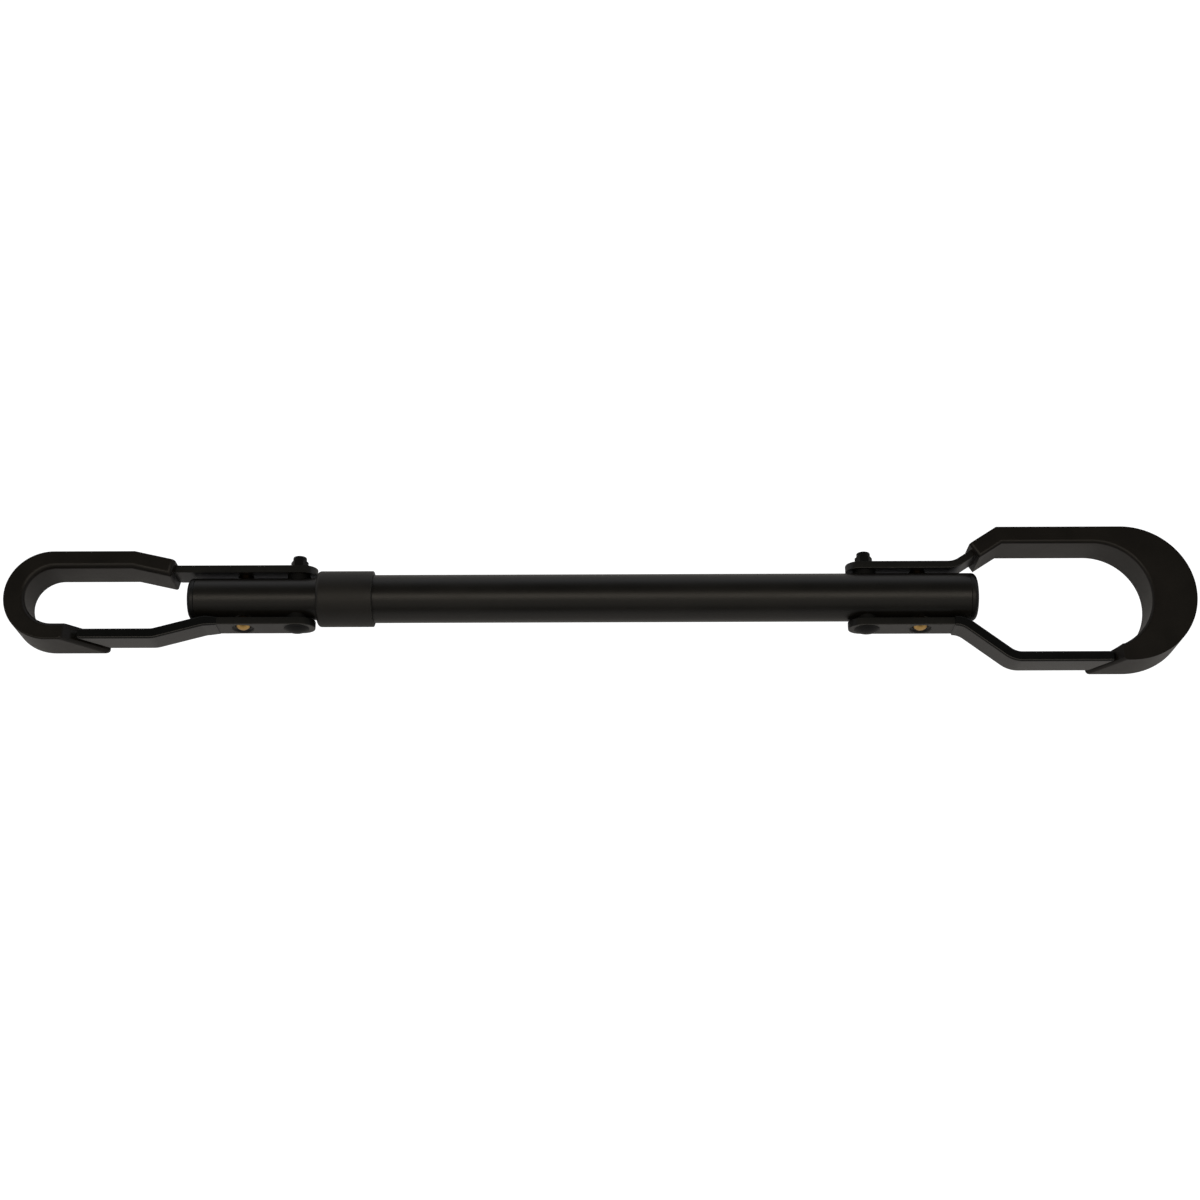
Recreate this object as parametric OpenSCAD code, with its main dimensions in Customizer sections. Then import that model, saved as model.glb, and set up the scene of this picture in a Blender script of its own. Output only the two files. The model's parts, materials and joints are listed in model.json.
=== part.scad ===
// Telescoping frame bar: a tube with a closed hook at each end. The small hook
// goes round a seat post, the large one round a stem, and the tube between them
// gives a hanging rack a level bar to hold.
// X runs along the tube towards the large hook, Y lies in the plane of the
// hooks, Z stands on that plane. The tube's axis is Y = Z = 0, and X = 0 is at
// half the length of the closed bar. Millimetres.

/* [Overall] */
// Length over both hooks with the bar closed
closed_length = 622.5; // [560:0.5:760]

/* [Tubes] */
// Outside diameter of the main tube
main_od = 25.4; // [25:0.1:30]
// Wall of the main tube
main_wall = 1.2; // [0.8:0.1:1.3]
// Outside diameter of the inner tube
inner_od = 22.2; // [20:0.1:22.2]
// Wall of the inner tube
inner_wall = 1.2; // [0.8:0.1:1.6]
// Main tube past the large pivot bolt
main_past_bolt = 54.2; // [50:0.1:65]
// Inner tube past the small pivot bolt
inner_past_bolt = 53.4; // [50:0.1:65]
// From the inner tube's guide to the large pivot bolt, bar closed
guide_to_bolt = 17.8; // [15:0.1:30]

/* [Collar and plugs] */
// Length of the collar
collar_length = 29.5; // [15:0.5:45]
// Wall of the collar outside the main tube
collar_wall = 2.05; // [1.5:0.05:4]
// Lip of the collar in front of the main tube
collar_lip = 2.5; // [1.5:0.1:5]
// Gap between the collar and the arms when closed
closing_gap = 0.7; // [0.3:0.1:3]
// Thickness of the main tube's end plug outside the tube
main_plug_head = 4.2; // [2:0.1:5]
// Thickness of the inner tube's end plug outside the tube
inner_plug_head = 3.8; // [2:0.1:5]
// Depth of the plugs inside the tubes
plug_depth = 9; // [6:0.5:12]
// Wall of the plugs' skirts and of the guide's skirt
plug_wall = 1.6; // [1:0.1:2]
// Length of the guide's flange
guide_flange = 4; // [3:0.5:8]

/* [Flat bar] */
// Width of the flat bar
bar_width = 15; // [12:0.5:16]
// Thickness of the flat bar
bar_thickness = 4; // [3:0.1:4]
// Middle radius of the bends
bend_radius = 12; // [10:0.5:14]
// Bar past each pivot bolt, towards the middle of the tube
bar_past_bolt = 9.9; // [8:0.1:12]
// Thinnest part of the saddle washers of the small end
small_saddle = 1.35; // [0.5:0.05:2]
// Thinnest part of the saddle washers of the large end
large_saddle = 1.15; // [0.5:0.05:2]
// Diameter of the saddle washers
saddle_od = 12; // [10:0.5:13]

/* [Small hook] */
// Radius of the small seat
small_seat_r = 15.2; // [14:0.1:17]
// Middle of the small seat in Y
small_seat_y = -1.35; // [-4:0.05:0]
// From the pivot bolt to the middle of the seat
small_reach = 125.95; // [118:0.05:150]
// Rubber between the seat and the far end
small_nose = 11; // [9.5:0.1:16]
// Rubber and bar above the seat
small_top_wall = 9.35; // [7.5:0.05:11]
// Rubber and bar below the seat
small_bottom_wall = 9.35; // [8:0.05:12]
// Rubber over the hook bar's level run
small_cover_top = 2; // [1.5:0.1:4]
// From the pivot bolt to the hook bar's first bend
small_hook_bend_at = 62; // [60:0.5:64]
// Slope of the hook bar between its two bends
small_hook_slope = 13; // [10:0.5:14]
// From the pivot bolt to the rubber's tail
small_tail_at = 63.5; // [62:0.5:68]
// From the pivot bolt to the gate's first bend
small_gate_bend_at = 46.3; // [42:0.1:50]
// Slope of the gate between its two bends
small_gate_slope = 15; // [12:0.5:20]
// How far the closed gate stands outside the seat
small_gate_outset = 2.1; // [0.1:0.1:4]
// Middle of the hook's slanted end, from the middle of the seat
small_slant_at = -16.55; // [-20:0.05:-14]
// Lean of that slanted end
small_slant_lean = 0.875; // [0.4:0.005:1]
// Gap along the bar between the slanted end and the gate
small_gate_gap = 3.5; // [1:0.1:5]

/* [Large hook] */
// Radius of the large seat
large_seat_r = 29.2; // [28:0.1:30.5]
// Middle of the large seat in Y
large_seat_y = -3.2; // [-3.4:0.1:-2]
// From the pivot bolt to the middle of the seat
large_reach = 118.85; // [114:0.05:150]
// Rubber between the seat and the far end
large_nose = 23.4; // [16:0.1:30]
// Rubber and bar above the seat
large_top_wall = 9.1; // [8:0.1:12]
// Rubber and bar below the seat
large_bottom_wall = 6.7; // [5.2:0.1:9]
// Rubber over the hook bar's level run
large_cover_top = 2.9; // [1.5:0.1:4]
// From the pivot bolt to the hook bar's first bend
large_hook_bend_at = 43.6; // [40:0.1:46]
// Slope of the hook bar between its two bends
large_hook_slope = 33; // [28:0.5:38]
// From the pivot bolt to the rubber's tail
large_tail_at = 54.6; // [52:0.1:60]
// How far the rubber's knee lies before the end of the bar's bend
large_knee_back = 4; // [2:0.5:5]
// From the pivot bolt to the gate's first bend
large_gate_bend_at = 45.4; // [40:0.1:48]
// Slope of the gate between its two bends
large_gate_slope = 38; // [32:0.5:42]
// How far the closed gate stands outside the seat
large_gate_outset = 0.4; // [0.1:0.1:2]
// Middle of the hook's slanted end, from the middle of the seat
large_slant_at = 3.85; // [-6:0.05:6]
// Lean of that slanted end
large_slant_lean = 0.625; // [0.4:0.005:1]
// Gap along the bar between the slanted end and the gate
large_gate_gap = 1.5; // [1:0.1:5]

/* [Rubber and vinyl] */
// Width of the rubber covers
cover_width = 24; // [20:0.5:28]
// Vinyl skin of the gates
sleeve_skin = 0.8; // [0.3:0.05:0.8]
// From the pivot bolt to the vinyl of the small gate
small_sleeve_at = 41; // [40:0.1:46]
// From the pivot bolt to the vinyl of the large gate
large_sleeve_at = 45; // [38:0.1:46]

/* [Pivot bolts] */
// Diameter of the pivot bolts
bolt_d = 5; // [4:0.5:6]
// Diameter of the bolts' round heads
bolt_head_d = 13.4; // [11:0.1:14]
// Height of the bolts' round heads
bolt_head_h = 2.2; // [1.5:0.1:3.5]
// Lock nut across its flats
nut_flats = 8; // [8:0.5:10]
// Height of the nut's hexagon
nut_hex_h = 4.6; // [3:0.1:5]
// Height of the nut's round top
nut_top_h = 2.4; // [1:0.1:3]

/* [Snap buttons] */
// From the pivot bolts to the snap buttons
button_at = 28; // [26:0.1:30]
// Diameter of the snap buttons
button_d = 7.4; // [6:0.1:8]
// How far a button stands out of the arm
button_proud = 0.5; // [0.3:0.1:1.5]
// Hole in the arms for a button
arm_hole_d = 8.4; // [8.3:0.1:9]
// Dish round the hole on the outside of a gate
dish_d = 12.4; // [10:0.1:13]
// Depth of that dish
dish_depth = 1.6; // [1:0.1:2]
// Diameter of a button's foot inside the tube
button_foot_d = 9.5; // [9:0.1:10]
// Thickness of a button's foot
button_foot = 1.2; // [0.8:0.1:1.6]
// Thickness of the snap spring
leaf_thickness = 0.6; // [0.4:0.05:0.8]
// Width of the snap spring
leaf_width = 7; // [5:0.5:8]

/* [Return spring] */
// Wire of the return spring
spring_wire = 1.6; // [1:0.1:2]
// Outside diameter of its coil
spring_od = 14; // [11:0.5:14.5]
// From a pivot bolt to the first turn of the coil
spring_hook_length = 14; // [12:0.5:20]

/* [Clearances] */
// Round a sliding tube
slide_clear = 0.1; // [0.05:0.01:0.15]
// Round the pivot bolts
bolt_clear = 0.08; // [0.05:0.01:0.15]
// Round the buttons in the tubes
button_clear = 0.2; // [0.1:0.05:0.3]
// Beside a gate, at the washer and at the bolt head
gate_clear = 0.05; // [0.03:0.01:0.15]
// Between the snap spring and the feet of the buttons
leaf_gap = 0.05; // [0.02:0.01:0.15]
// Between a plug's skirt and its tube
plug_clear = 0.05; // [0:0.01:0.1]

/* [Hidden] */
$fn = 96;
// one side of a cutting block, longer than any part it trims
cut = 400;
// how far a cutting shape reaches past the face that it opens
past = 1;
// largest turn of one flat of a bend
bend_step = 4;

// the two tubes
main_r = main_od / 2;
main_bore_r = main_r - main_wall;
inner_r = inner_od / 2;
inner_bore_r = inner_r - inner_wall;

// places along X, worked inwards from the two far ends
large_seat_x = closed_length / 2 - large_nose - large_seat_r;
small_seat_x = -closed_length / 2 + small_nose + small_seat_r;
large_bolt_x = large_seat_x - large_reach;
small_bolt_x = small_seat_x + small_reach;
main_right = large_bolt_x + main_past_bolt;
collar_left = small_bolt_x + bar_past_bolt + closing_gap;
main_left = collar_left + collar_lip;
inner_left = small_bolt_x - inner_past_bolt;
guide_right = large_bolt_x - guide_to_bolt;
inner_right = guide_right - guide_flange;

// the arms, from the tube outwards
small_arm_in = inner_r + small_saddle;
large_arm_in = main_r + large_saddle;
small_arm_y = small_arm_in + bar_thickness / 2;
large_arm_y = large_arm_in + bar_thickness / 2;
hole_r = bolt_d / 2 + bolt_clear;

// the hook bars: level beside the seat, then a half turn round it
small_top_y = small_seat_y + small_seat_r + small_top_wall - small_cover_top
    - bar_thickness / 2;
large_top_y = large_seat_y + large_seat_r + large_top_wall - large_cover_top
    - bar_thickness / 2;
small_gate_y = small_seat_y - small_seat_r - small_gate_outset - sleeve_skin
    - bar_thickness / 2;
large_gate_y = large_seat_y - large_seat_r - large_gate_outset - sleeve_skin
    - bar_thickness / 2;

// nuts, bolts and buttons
nut_h = nut_hex_h + nut_top_h;
nut_top_d = nut_flats - 0.8;
bolt_short_of_nut = 0.4;
button_dome = button_d / 4;
leaf_past_bolt = 4;

// return spring: play of its hooks round the bolts, and of its coil in the guide
hook_play = 1.2;
hook_gap = 0.1;
coil_play = 0.6;

// corner radius of the moulded ends, as a share of their thickness
plug_rounding = 0.8;
collar_rounding = 0.9;

// bar and rubber run this far under the seat before the slanted cut
lip_run = 3 * bar_width;

// ---- placing -------------------------------------------------------------

// An end is drawn from its pivot bolt with X outwards, and put in place here.
module at_large_end() translate([large_bolt_x, 0, 0]) children();
module at_small_end() translate([small_bolt_x, 0, 0]) mirror([1, 0, 0]) children();

// A round piece standing on the XZ plane and growing towards +Y.
module along_y() rotate([-90, 0, 0]) children();

// A round piece lying along X from x0 on.
module along_x(x0) translate([x0, 0, 0]) rotate([0, 90, 0]) children();

// ---- shapes shared by both ends --------------------------------------------

// Straight run that makes up the offset of a double bend.
function slope_run(offset_y, slope) =
    (offset_y - 2 * bend_radius * (1 - cos(slope))) / sin(slope);

// Length along X that a double bend takes.
function slope_length(offset_y, slope) =
    2 * bend_radius * sin(slope) + slope_run(offset_y, slope) * cos(slope);

// Centre line of a flat bar bent through a list of moves, as [x, y, heading]
// stations: [length, 0] is a straight run and [radius, angle] a bend, to the
// left where the angle is positive.
function stations(moves, i = 0, at = [0, 0, 0]) =
    i == len(moves) ? [at] :
    let (size = moves[i][0], turn = moves[i][1])
    turn == 0 ?
        concat([at], stations(moves, i + 1,
            [at[0] + size * cos(at[2]), at[1] + size * sin(at[2]), at[2]])) :
        let (r = size * sign(turn), steps = ceil(abs(turn) / bend_step),
             middle = [at[0] - r * sin(at[2]), at[1] + r * cos(at[2])])
        concat([for (k = [0 : steps - 1]) round_bend(middle, r, at[2] + turn * k / steps)],
            stations(moves, i + 1, round_bend(middle, r, at[2] + turn)));

function round_bend(middle, r, heading) =
    [middle[0] + r * sin(heading), middle[1] - r * cos(heading), heading];

function beside(station, distance) =
    [station[0] - distance * sin(station[2]), station[1] + distance * cos(station[2])];

module bent_bar(moves, width, thickness) {
    line = stations(moves);
    last = len(line) - 1;
    linear_extrude(height = width, center = true)
        polygon(concat([for (k = [0 : last]) beside(line[k], thickness / 2)],
                       [for (k = [last : -1 : 0]) beside(line[k], -thickness / 2)]));
}

// Everything outwards of a plane that leans outwards as Z rises.
module beyond_slant(edge, lean) {
    rotate([90, 0, 0]) linear_extrude(height = cut, center = true)
        polygon([[edge - lean * cut, -cut], [edge + lean * cut, cut],
                 [edge + 2 * cut, cut], [edge + 2 * cut, -cut]]);
}

// Everything on the tube's side of that plane.
module before_slant(edge, lean) {
    rotate([90, 0, 0]) linear_extrude(height = cut, center = true)
        polygon([[edge - lean * cut, -cut], [edge + lean * cut, cut],
                 [edge - 2 * cut, cut], [edge - 2 * cut, -cut]]);
}

// Round end of an arm, its holes for the bolt and the button, and in a gate
// the dish that lets a fingertip reach the button.
module arm_holes(arm_y, dished) {
    translate([0, arm_y - cut / 2, 0]) along_y() cylinder(r = hole_r, h = cut);
    translate([button_at, arm_y - cut / 2, 0]) along_y() cylinder(d = arm_hole_d, h = cut);
    if (dished)
        translate([button_at, arm_y - bar_thickness / 2 - past, 0]) along_y()
            cylinder(d1 = dish_d + past * (dish_d - arm_hole_d) / dish_depth,
                     d2 = arm_hole_d, h = dish_depth + past);
}

module arm_root(arm_y) {
    centre = bar_width / 2 - bar_past_bolt;
    translate([centre, arm_y - bar_thickness / 2, 0]) along_y()
        cylinder(d = bar_width, h = bar_thickness);
    translate([centre, arm_y - bar_thickness / 2, -bar_width / 2])
        cube([-centre, bar_thickness, bar_width]);
}

// Hook bar: the upper arm, a double bend up to the level run, and a half turn
// round the seat that ends at the slanted plane, in line with the gate.
module hook_bar(arm_y, bend_at, slope, top_y, gate_y, reach, slant_at, lean) {
    turn_y = (top_y + gate_y) / 2;
    turn_r = (top_y - gate_y) / 2;
    level = reach - bend_at - slope_length(top_y - arm_y, slope);
    moves = [[bend_at, 0],
             [bend_radius, slope], [slope_run(top_y - arm_y, slope), 0], [bend_radius, -slope],
             [level, 0], [turn_r, -180], [lip_run, 0]];
    difference() {
        union() {
            arm_root(arm_y);
            translate([0, arm_y, 0]) bent_bar(moves, bar_width, bar_thickness);
        }
        arm_holes(arm_y, false);
        intersection() {
            before_slant(reach + slant_at, lean);
            translate([0, turn_y - cut, -cut / 2]) cube([cut, cut, cut]);
        }
    }
}

// Gate: the lower arm, a double bend out to the level run, ending at a slanted
// tip. The skin is the vinyl's thickness, or 0 for the bare bar.
module gate_shape(arm_y, bend_at, slope, gate_y, tip_at, lean, skin) {
    offset_y = -gate_y - arm_y;
    moves = [[bend_at, 0],
             [bend_radius, -slope], [slope_run(offset_y, slope), 0], [bend_radius, slope],
             [cut / 2, 0]];
    difference() {
        translate([0, -arm_y, 0])
            bent_bar(moves, bar_width + 2 * skin, bar_thickness + 2 * skin);
        beyond_slant(tip_at, lean);
    }
}

module gate_bar(arm_y, bend_at, slope, gate_y, tip_at, lean) {
    back = sleeve_skin * sqrt(1 + lean * lean);
    difference() {
        union() {
            arm_root(-arm_y);
            gate_shape(arm_y, bend_at, slope, gate_y, tip_at - back, lean, 0);
        }
        arm_holes(-arm_y, true);
    }
}

module gate_sleeve(arm_y, bend_at, slope, gate_y, tip_at, lean, from) {
    back = sleeve_skin * sqrt(1 + lean * lean);
    difference() {
        gate_shape(arm_y, bend_at, slope, gate_y, tip_at, lean, sleeve_skin);
        gate_shape(arm_y, bend_at, slope, gate_y, tip_at - back, lean, 0);
        translate([from - cut, -cut / 2, -cut / 2]) cube([cut, cut, cut]);
    }
}

// Outline of a rubber cover: a round nose, a level top that slopes down with
// the bar at its tail, and a lower lip. The seat itself is drilled afterwards.
module cover_outline(seat_r, seat_y, reach, nose, depth, bottom, knee_x, slope, tail_x) {
    seat_top = seat_y + seat_r;
    top = seat_top + depth;
    outer_r = seat_r + (depth + bottom) / 2;
    outer_x = reach + seat_r + nose - outer_r;
    outer_y = top - outer_r;
    inner_knee_x = knee_x + depth * tan(slope / 2);
    tail_top = top - (knee_x - tail_x) * tan(slope);
    polygon(concat(
        [for (a = [-90 : 5 : 90]) [outer_x + outer_r * cos(a), outer_y + outer_r * sin(a)]],
        [[knee_x, top], [tail_x, tail_top],
         [tail_x + depth * sin(slope), tail_top - depth * cos(slope)],
         [inner_knee_x, seat_top],
         [reach, seat_top], [reach, seat_y - seat_r],
         [reach - lip_run, seat_y - seat_r],
         [reach - lip_run, outer_y - outer_r]]));
}

module hook_cover(seat_r, seat_y, reach, nose, top_wall, bottom_wall, knee_x, slope, tail_x,
                  slant_at, lean) {
    difference() {
        linear_extrude(height = cover_width, center = true)
            cover_outline(seat_r, seat_y, reach, nose, top_wall, bottom_wall, knee_x, slope,
                          tail_x);
        translate([reach, seat_y, -cover_width])
            cylinder(r = seat_r, h = 2 * cover_width);
        intersection() {
            before_slant(reach + slant_at, lean);
            translate([0, seat_y - cut, -cut / 2]) cube([cut, cut, cut]);
        }
        children();
    }
}

// Pivot bolt: a low round head on the gate's side and a plain shank through
// both arms and the tube.
module pivot_bolt(arm_y) {
    face = arm_y + bar_thickness / 2;
    dome_r = (pow(bolt_head_d / 2, 2) + pow(bolt_head_h, 2)) / (2 * bolt_head_h);
    translate([0, -face - gate_clear, 0]) {
        intersection() {
            translate([0, -bolt_head_h, 0]) along_y() cylinder(d = bolt_head_d, h = bolt_head_h);
            translate([0, dome_r - bolt_head_h, 0]) sphere(r = dome_r);
        }
        along_y() cylinder(d = bolt_d, h = 2 * face + gate_clear + nut_h - bolt_short_of_nut);
    }
}

// Lock nut: a hexagon with a narrower round top that holds the nylon ring.
module lock_nut(arm_y) {
    translate([0, arm_y + bar_thickness / 2, 0]) along_y() difference() {
        union() {
            cylinder(r = nut_flats / sqrt(3), h = nut_hex_h, $fn = 6);
            cylinder(d = nut_top_d, h = nut_h);
        }
        translate([0, 0, -past]) cylinder(d = bolt_d, h = nut_h + 2 * past);
    }
}

// Saddle washer: flat against an arm, hollowed to sit on the tube.
module saddle(tube_r, face) {
    difference() {
        along_y() cylinder(d = saddle_od, h = face);
        translate([-cut / 2, 0, 0]) along_x(0) cylinder(r = tube_r, h = cut);
        translate([0, -past, 0]) along_y() cylinder(r = hole_r, h = cut);
    }
}

// Snap button: a round pin with a domed tip and a foot inside the tube.
module snap_button(bore_r, arm_y) {
    foot_top = sqrt(pow(bore_r, 2) - pow(button_foot_d / 2, 2)) - button_clear;
    tip = arm_y + bar_thickness / 2 + button_proud;
    dome_r = (pow(button_d / 2, 2) + pow(button_dome, 2)) / (2 * button_dome);
    translate([button_at, 0, 0]) {
        translate([0, foot_top - button_foot, 0]) along_y()
            cylinder(d = button_foot_d, h = button_foot);
        intersection() {
            translate([0, foot_top - button_foot, 0]) along_y()
                cylinder(d = button_d, h = tip - foot_top + button_foot);
            translate([0, tip - dome_r, 0]) sphere(r = dome_r);
        }
    }
}

// Snap spring: one strip bent into a U that pushes both buttons apart.
module snap_spring(bore_r) {
    foot_top = sqrt(pow(bore_r, 2) - pow(button_foot_d / 2, 2)) - button_clear;
    leg_y = foot_top - button_foot - leaf_gap - leaf_thickness / 2;
    bend = leg_y;
    start = bolt_d / 2 + leaf_past_bolt + bend;
    leg = button_at + button_foot_d / 2 - start;
    translate([button_at + button_foot_d / 2, -leg_y, 0]) mirror([1, 0, 0])
        bent_bar([[leg, 0], [bend, 180], [leg, 0]], leaf_width, leaf_thickness);
}

// Plug: a rounded head outside the tube and a hollow skirt inside it.
module tube_plug(tube_r, bore_r, head) {
    skirt_r = bore_r - plug_clear;
    round_r = head * plug_rounding;
    rotate_extrude() difference() {
        union() {
            polygon(concat([[0, 0], [tube_r, 0]],
                [for (a = [0 : 10 : 90])
                    [tube_r - round_r + round_r * cos(a), head - round_r + round_r * sin(a)]],
                [[0, head]]));
            translate([0, -plug_depth]) square([skirt_r, plug_depth]);
        }
        translate([-past, -plug_depth - past])
            square([skirt_r - plug_wall + past, plug_depth + past]);
    }
}

// One hooked end of the return spring, round a bolt at the origin, with the
// coil's first turn spring_hook_length along X.
module spring_hook() {
    ring_r = bolt_d / 2 + spring_wire / 2 + hook_play;
    ring_x = hook_play - hook_gap;
    leg_x = ring_x + ring_r;
    coil_r = (spring_od - spring_wire) / 2;
    translate([ring_x, 0, 0]) along_y() rotate_extrude()
        translate([ring_r, 0]) circle(d = spring_wire);
    along_x(leg_x) cylinder(d = spring_wire, h = spring_hook_length - leg_x + spring_wire);
    translate([spring_hook_length + spring_wire / 2, 0, -spring_wire / 2])
        cylinder(d = spring_wire, h = coil_r + spring_wire / 2);
}

// ---- the tubes -----------------------------------------------------------------

module main_tube() {
    color("#1d1b18") difference() {
        along_x(main_left) cylinder(r = main_r, h = main_right - main_left);
        along_x(main_left - past)
            cylinder(r = main_bore_r, h = main_right - main_left + 2 * past);
        at_large_end() {
            translate([0, -main_od, 0]) along_y() cylinder(r = hole_r, h = 2 * main_od);
            translate([button_at, -main_od, 0]) along_y()
                cylinder(r = button_d / 2 + button_clear, h = 2 * main_od);
        }
    }
}

module inner_tube() {
    color("#1d1b18") difference() {
        along_x(inner_left) cylinder(r = inner_r, h = inner_right - inner_left);
        along_x(inner_left - past)
            cylinder(r = inner_bore_r, h = inner_right - inner_left + 2 * past);
        at_small_end() {
            translate([0, -inner_od, 0]) along_y() cylinder(r = hole_r, h = 2 * inner_od);
            translate([button_at, -inner_od, 0]) along_y()
                cylinder(r = button_d / 2 + button_clear, h = 2 * inner_od);
        }
    }
}

// Collar: pressed on the main tube, with a lip that guides the inner tube.
module tube_collar() {
    outer_r = main_r + collar_wall;
    round_r = collar_wall * collar_rounding;
    color("#262521") along_x(collar_left) rotate_extrude() polygon(concat(
        [[inner_r + slide_clear, 0]],
        [for (a = [-90 : 10 : 0])
            [outer_r - round_r + round_r * cos(a), round_r + round_r * sin(a)]],
        [[outer_r, collar_length], [main_r, collar_length],
         [main_r, collar_lip], [inner_r + slide_clear, collar_lip]]));
}

// Guide: pressed in the inner tube's end, it runs on the main tube's bore.
module inner_guide() {
    guide_hole_r = spring_od / 2 + coil_play;
    color("#3a3a3a") along_x(inner_right) rotate_extrude() difference() {
        union() {
            square([main_bore_r - slide_clear, guide_flange]);
            translate([0, -plug_depth])
                square([inner_bore_r - plug_clear, plug_depth + guide_flange / 2]);
        }
        translate([0, -plug_depth - past])
            square([guide_hole_r, plug_depth + guide_flange + 2 * past]);
    }
}

module main_tube_plug() {
    color("#141414") along_x(main_right) tube_plug(main_r, main_bore_r, main_plug_head);
}

module inner_tube_plug() {
    color("#141414") mirror([1, 0, 0]) along_x(-inner_left)
        tube_plug(inner_r, inner_bore_r, inner_plug_head);
}

// Return spring: a close-wound coil, drawn as its hollow outside shape, and a
// hook on each pivot bolt.
module return_spring() {
    coil_left = small_bolt_x + spring_hook_length;
    coil_right = large_bolt_x - spring_hook_length;
    color("#8c8f92") {
        difference() {
            along_x(coil_left) cylinder(d = spring_od, h = coil_right - coil_left);
            along_x(coil_left - past)
                cylinder(d = spring_od - 2 * spring_wire, h = coil_right - coil_left + 2 * past);
        }
        translate([small_bolt_x, 0, 0]) spring_hook();
        translate([large_bolt_x, 0, 0]) mirror([1, 0, 0]) spring_hook();
    }
}

// ---- the small end ----------------------------------------------------------------

module small_hook_bar() {
    color("#1a1917") at_small_end()
        hook_bar(small_arm_y, small_hook_bend_at, small_hook_slope, small_top_y, small_gate_y,
                 small_reach, small_slant_at, small_slant_lean);
}

module small_hook_cover() {
    knee_x = small_hook_bend_at + slope_length(small_top_y - small_arm_y, small_hook_slope);
    color("#23211d") at_small_end()
        hook_cover(small_seat_r, small_seat_y, small_reach, small_nose, small_top_wall,
                   small_bottom_wall, knee_x, small_hook_slope, small_tail_at,
                   small_slant_at, small_slant_lean)
            at_small_end() small_hook_bar();
}

module small_gate_bar() {
    color("#1a1917") at_small_end()
        gate_bar(small_arm_y, small_gate_bend_at, small_gate_slope, small_gate_y,
                 small_reach + small_slant_at - small_gate_gap, small_slant_lean);
}

module small_gate_sleeve() {
    color("#2b2a28") at_small_end()
        gate_sleeve(small_arm_y, small_gate_bend_at, small_gate_slope, small_gate_y,
                    small_reach + small_slant_at - small_gate_gap, small_slant_lean,
                    small_sleeve_at);
}

module small_pivot_bolt() color("#151515") at_small_end() pivot_bolt(small_arm_y);
module small_lock_nut() color("#151515") at_small_end() lock_nut(small_arm_y);
module small_upper_saddle() color("#101010") at_small_end() saddle(inner_r, small_arm_in);
module small_lower_saddle()
    color("#101010") at_small_end() mirror([0, 1, 0]) saddle(inner_r, small_arm_in - gate_clear);
module small_upper_button()
    color("#c79a52") at_small_end() snap_button(inner_bore_r, small_arm_y);
module small_lower_button()
    color("#c79a52") at_small_end() mirror([0, 1, 0]) snap_button(inner_bore_r, small_arm_y);
module small_snap_spring() color("#9a9c9e") at_small_end() snap_spring(inner_bore_r);

// ---- the large end ----------------------------------------------------------------

module large_hook_bar() {
    color("#1a1917") at_large_end()
        hook_bar(large_arm_y, large_hook_bend_at, large_hook_slope, large_top_y, large_gate_y,
                 large_reach, large_slant_at, large_slant_lean);
}

module large_hook_cover() {
    knee_x = large_hook_bend_at + slope_length(large_top_y - large_arm_y, large_hook_slope);
    color("#23211d") at_large_end()
        hook_cover(large_seat_r, large_seat_y, large_reach, large_nose, large_top_wall,
                   large_bottom_wall, knee_x - large_knee_back, large_hook_slope, large_tail_at,
                   large_slant_at, large_slant_lean)
            translate([-large_bolt_x, 0, 0]) large_hook_bar();
}

module large_gate_bar() {
    color("#1a1917") at_large_end()
        gate_bar(large_arm_y, large_gate_bend_at, large_gate_slope, large_gate_y,
                 large_reach + large_slant_at - large_gate_gap, large_slant_lean);
}

module large_gate_sleeve() {
    color("#2b2a28") at_large_end()
        gate_sleeve(large_arm_y, large_gate_bend_at, large_gate_slope, large_gate_y,
                    large_reach + large_slant_at - large_gate_gap, large_slant_lean,
                    large_sleeve_at);
}

module large_pivot_bolt() color("#151515") at_large_end() pivot_bolt(large_arm_y);
module large_lock_nut() color("#151515") at_large_end() lock_nut(large_arm_y);
module large_upper_saddle() color("#101010") at_large_end() saddle(main_r, large_arm_in);
module large_lower_saddle()
    color("#101010") at_large_end() mirror([0, 1, 0]) saddle(main_r, large_arm_in - gate_clear);
module large_upper_button()
    color("#c79a52") at_large_end() snap_button(main_bore_r, large_arm_y);
module large_lower_button()
    color("#c79a52") at_large_end() mirror([0, 1, 0]) snap_button(main_bore_r, large_arm_y);
module large_snap_spring() color("#9a9c9e") at_large_end() snap_spring(main_bore_r);

main_tube();
inner_tube();
tube_collar();
inner_guide();
main_tube_plug();
inner_tube_plug();
return_spring();
small_hook_bar();
small_hook_cover();
small_gate_bar();
small_gate_sleeve();
large_hook_bar();
large_hook_cover();
large_gate_bar();
large_gate_sleeve();
small_pivot_bolt();
small_lock_nut();
small_upper_saddle();
small_lower_saddle();
large_pivot_bolt();
large_lock_nut();
large_upper_saddle();
large_lower_saddle();
small_upper_button();
small_lower_button();
small_snap_spring();
large_upper_button();
large_lower_button();
large_snap_spring();
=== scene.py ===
import json
import math

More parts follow.
